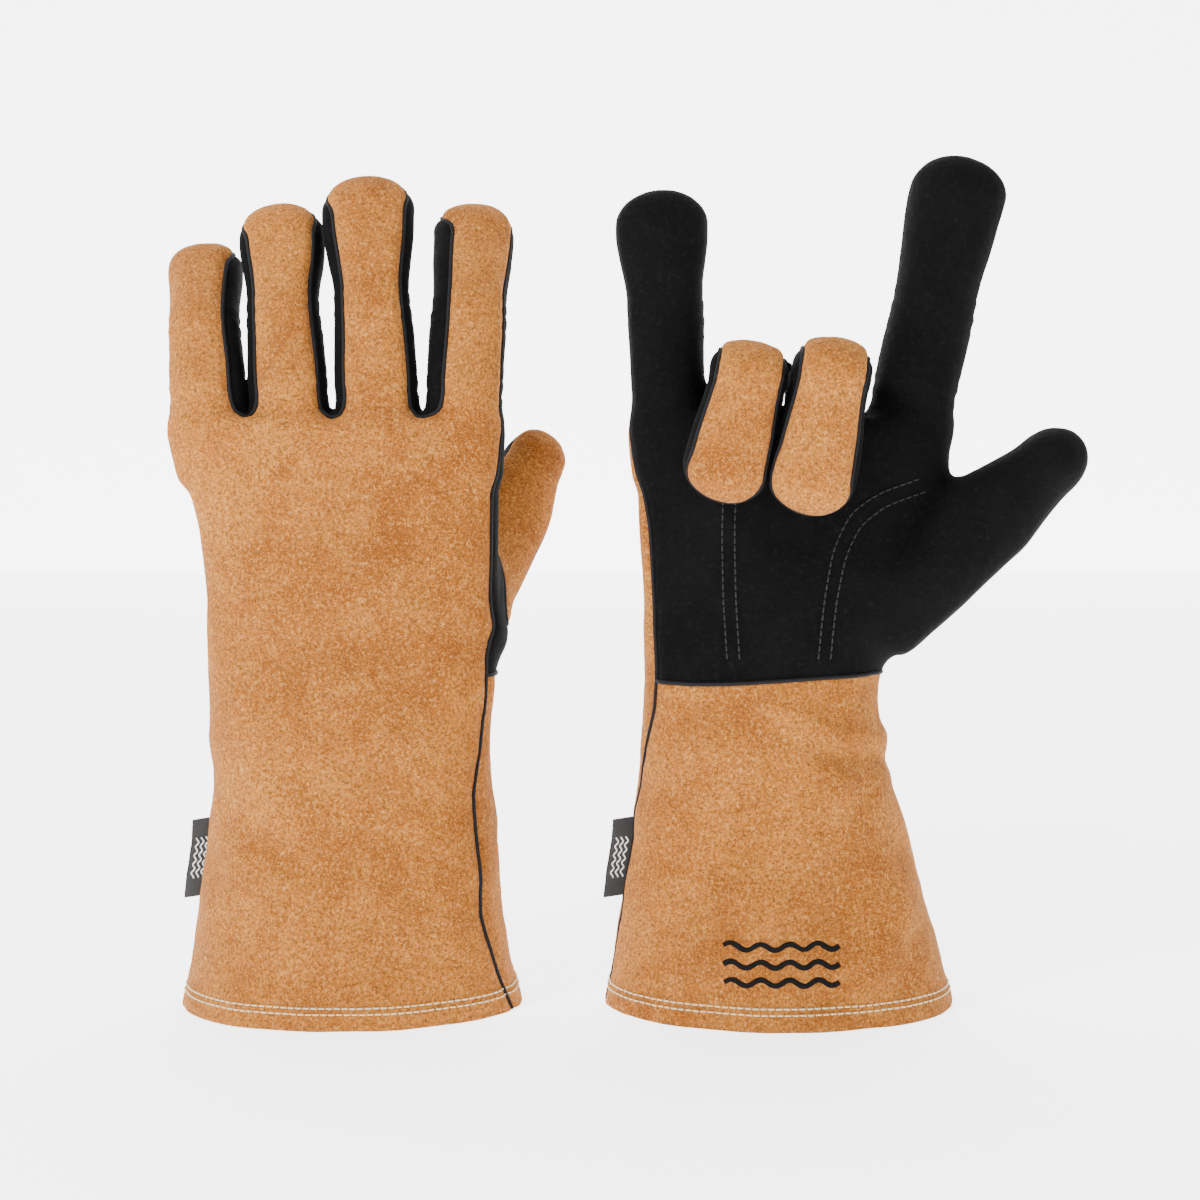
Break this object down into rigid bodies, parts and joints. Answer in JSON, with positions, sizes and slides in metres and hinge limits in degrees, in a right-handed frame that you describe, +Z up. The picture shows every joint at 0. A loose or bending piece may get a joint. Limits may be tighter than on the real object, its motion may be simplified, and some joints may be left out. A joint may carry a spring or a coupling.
{
  "type": "welding gloves",
  "caption": "Pair of gauntlet leather welding gloves with a tan back and cuff, a black palm, sewn-in welts, a soft lining, folding fingers and a swinging thumb.",
  "frame": {"origin": "on the floor, at the middle of the pair's bounding box", "axes": "+Z up from the cuffs to the fingertips, +X from the left glove to the right glove, -Y the side that shows the left glove's back and the right glove's palm"},
  "size_m": [0.3732, 0.126, 0.3471],
  "materials": {
    "tan_suede": "napped suede, matte",
    "black_suede": "napped suede, matte",
    "fleece_lining": "brushed cotton fleece",
    "canvas_lining": "plain woven cotton canvas",
    "woven_label": "woven satin",
    "cream_thread": "twisted thread"
  },
  "bodies": {
    "left_hand": {"left_back_panel": "tan_suede", "left_palm_panel": "black_suede", "left_cuff_front_panel": "tan_suede", "left_hand_lining": "fleece_lining", "left_cuff_lining": "canvas_lining", "left_wrist_welt": "black_suede", "left_little_side_welt": "black_suede", "left_thumb_side_welt": "black_suede", "left_side_label": "woven_label", "left_fourchette_little_ring": "black_suede", "left_fourchette_ring_middle": "black_suede", "left_fourchette_middle_index": "black_suede"},
    "right_hand": {"right_back_panel": "tan_suede", "right_palm_panel": "black_suede", "right_cuff_front_panel": "tan_suede", "right_hand_lining": "fleece_lining", "right_cuff_lining": "canvas_lining", "right_wrist_welt": "black_suede", "right_little_side_welt": "black_suede", "right_thumb_side_welt": "black_suede", "right_side_label": "woven_label", "right_fourchette_little_ring": "black_suede", "right_fourchette_ring_middle": "black_suede", "right_fourchette_middle_index": "black_suede"},
    "left_index_base": {"left_index_base_back": "tan_suede", "left_index_base_front": "black_suede"},
    "left_index_tip": {"left_index_tip_back": "tan_suede", "left_index_tip_front": "black_suede"},
    "left_little_base": {"left_little_base_back": "tan_suede", "left_little_base_front": "black_suede"},
    "left_little_tip": {"left_little_tip_back": "tan_suede", "left_little_tip_front": "black_suede"},
    "left_middle_base": {"left_middle_base_back": "tan_suede", "left_middle_base_front": "black_suede"},
    "left_middle_tip": {"left_middle_tip_back": "tan_suede", "left_middle_tip_front": "black_suede"},
    "left_ring_base": {"left_ring_base_back": "tan_suede", "left_ring_base_front": "black_suede"},
    "left_ring_tip": {"left_ring_tip_back": "tan_suede", "left_ring_tip_front": "black_suede"},
    "left_thumb": {"left_thumb_back": "tan_suede", "left_thumb_front": "black_suede"},
    "right_index_base": {"right_index_base_back": "tan_suede", "right_index_base_front": "black_suede"},
    "right_index_tip": {"right_index_tip_back": "tan_suede", "right_index_tip_front": "black_suede"},
    "right_little_base": {"right_little_base_back": "tan_suede", "right_little_base_front": "black_suede"},
    "right_little_tip": {"right_little_tip_back": "tan_suede", "right_little_tip_front": "black_suede"},
    "right_middle_base": {"right_middle_base_back": "tan_suede", "right_middle_base_front": "black_suede"},
    "right_middle_tip": {"right_middle_tip_back": "tan_suede", "right_middle_tip_front": "black_suede"},
    "right_ring_base": {"right_ring_base_back": "tan_suede", "right_ring_base_front": "black_suede"},
    "right_ring_tip": {"right_ring_tip_back": "tan_suede", "right_ring_tip_front": "black_suede"},
    "right_thumb": {"right_thumb_back": "tan_suede", "right_thumb_front": "black_suede"}
  },
  "joints": [
    {"name": "gloves_apart", "type": "slide", "parent": "left_hand", "child": "right_hand", "axis": [1, 0, 0], "range_m": [0, 0.1]},
    {"name": "left_little_base_fold", "type": "hinge", "parent": "left_hand", "child": "left_little_base", "pos_m": [-0.16746, -0.01589, 0.25224], "axis": [-0.9969, 0, -0.0785], "range_deg": [-20, 52]},
    {"name": "left_little_tip_fold", "type": "hinge", "parent": "left_little_base", "child": "left_little_tip", "pos_m": [-0.16968, -0.00563, 0.28034], "axis": [-0.9969, 0, -0.0785], "range_deg": [-20, 52]},
    {"name": "left_ring_base_fold", "type": "hinge", "parent": "left_hand", "child": "left_ring_base", "pos_m": [-0.13426, -0.01589, 0.25272], "axis": [-0.9976, 0, -0.0698], "range_deg": [-12, 60]},
    {"name": "left_ring_tip_fold", "type": "hinge", "parent": "left_ring_base", "child": "left_ring_tip", "pos_m": [-0.13651, -0.00903, 0.28492], "axis": [-0.9976, 0, -0.0698], "range_deg": [-12, 60]},
    {"name": "left_middle_base_fold", "type": "hinge", "parent": "left_hand", "child": "left_middle_base", "pos_m": [-0.09776, -0.01589, 0.25312], "axis": [-0.9986, 0, -0.0523], "range_deg": [-8, 64]},
    {"name": "left_middle_tip_fold", "type": "hinge", "parent": "left_middle_base", "child": "left_middle_tip", "pos_m": [-0.09958, -0.01102, 0.28774], "axis": [-0.9986, 0, -0.0523], "range_deg": [-8, 64]},
    {"name": "left_index_base_fold", "type": "hinge", "parent": "left_hand", "child": "left_index_base", "pos_m": [-0.06176, -0.01589, 0.2528], "axis": [-1, 0, 0], "range_deg": [-16, 48]},
    {"name": "left_index_tip_fold", "type": "hinge", "parent": "left_index_base", "child": "left_index_tip", "pos_m": [-0.06028, -0.00652, 0.28545], "axis": [-1, 0, 0], "range_deg": [-16, 48]},
    {"name": "left_thumb_swing", "type": "hinge", "parent": "left_hand", "child": "left_thumb", "pos_m": [-0.05726, 0.00411, 0.172], "axis": [-0.9205, 0, 0.3907], "range_deg": [-32, 4]},
    {"name": "right_little_base_fold", "type": "hinge", "parent": "right_hand", "child": "right_little_base", "pos_m": [0.02214, -0.01589, 0.25254], "axis": [0.999, 0, 0.0436], "range_deg": [-4, 46]},
    {"name": "right_little_tip_fold", "type": "hinge", "parent": "right_little_base", "child": "right_little_tip", "pos_m": [0.02074, -0.01812, 0.28444], "axis": [0.999, 0, 0.0436], "range_deg": [-4, 46]},
    {"name": "right_ring_base_fold", "type": "hinge", "parent": "right_hand", "child": "right_ring_base", "pos_m": [0.05324, -0.01589, 0.25329], "axis": [0.9863, 0, -0.165], "range_deg": [-78, 0]},
    {"name": "right_ring_tip_fold", "type": "hinge", "parent": "right_ring_base", "child": "right_ring_tip", "pos_m": [0.05235, -0.04908, 0.26059], "axis": [0.9863, 0, -0.165], "range_deg": [-101.4, 0]},
    {"name": "right_middle_base_fold", "type": "hinge", "parent": "right_hand", "child": "right_middle_base", "pos_m": [0.08574, -0.01589, 0.25352], "axis": [0.989, 0, -0.1478], "range_deg": [-78, 0]},
    {"name": "right_middle_tip_fold", "type": "hinge", "parent": "right_middle_base", "child": "right_middle_tip", "pos_m": [0.0853, -0.05009, 0.26093], "axis": [0.989, 0, -0.1478], "range_deg": [-101.4, 0]},
    {"name": "right_index_base_fold", "type": "hinge", "parent": "right_hand", "child": "right_index_base", "pos_m": [0.12274, -0.01589, 0.25402], "axis": [0.9816, 0, -0.1908], "range_deg": [-4, 68]},
    {"name": "right_index_tip_fold", "type": "hinge", "parent": "right_index_base", "child": "right_index_tip", "pos_m": [0.1294, -0.01833, 0.28829], "axis": [0.9816, 0, -0.1908], "range_deg": [-4, 68]},
    {"name": "right_thumb_swing", "type": "hinge", "parent": "right_hand", "child": "right_thumb", "pos_m": [0.12174, -0.02489, 0.176], "axis": [0.682, 0, -0.7314], "range_deg": [-6, 30]}
  ],
  "couplings": [
    {"joint": "left_little_tip_fold", "follows": "left_little_base_fold", "ratio": 1},
    {"joint": "left_ring_tip_fold", "follows": "left_ring_base_fold", "ratio": 1},
    {"joint": "left_middle_tip_fold", "follows": "left_middle_base_fold", "ratio": 1},
    {"joint": "left_index_tip_fold", "follows": "left_index_base_fold", "ratio": 1},
    {"joint": "right_little_tip_fold", "follows": "right_little_base_fold", "ratio": 1},
    {"joint": "right_ring_tip_fold", "follows": "right_ring_base_fold", "ratio": 1.3},
    {"joint": "right_middle_tip_fold", "follows": "right_middle_base_fold", "ratio": 1.3},
    {"joint": "right_index_tip_fold", "follows": "right_index_base_fold", "ratio": 1}
  ]
}
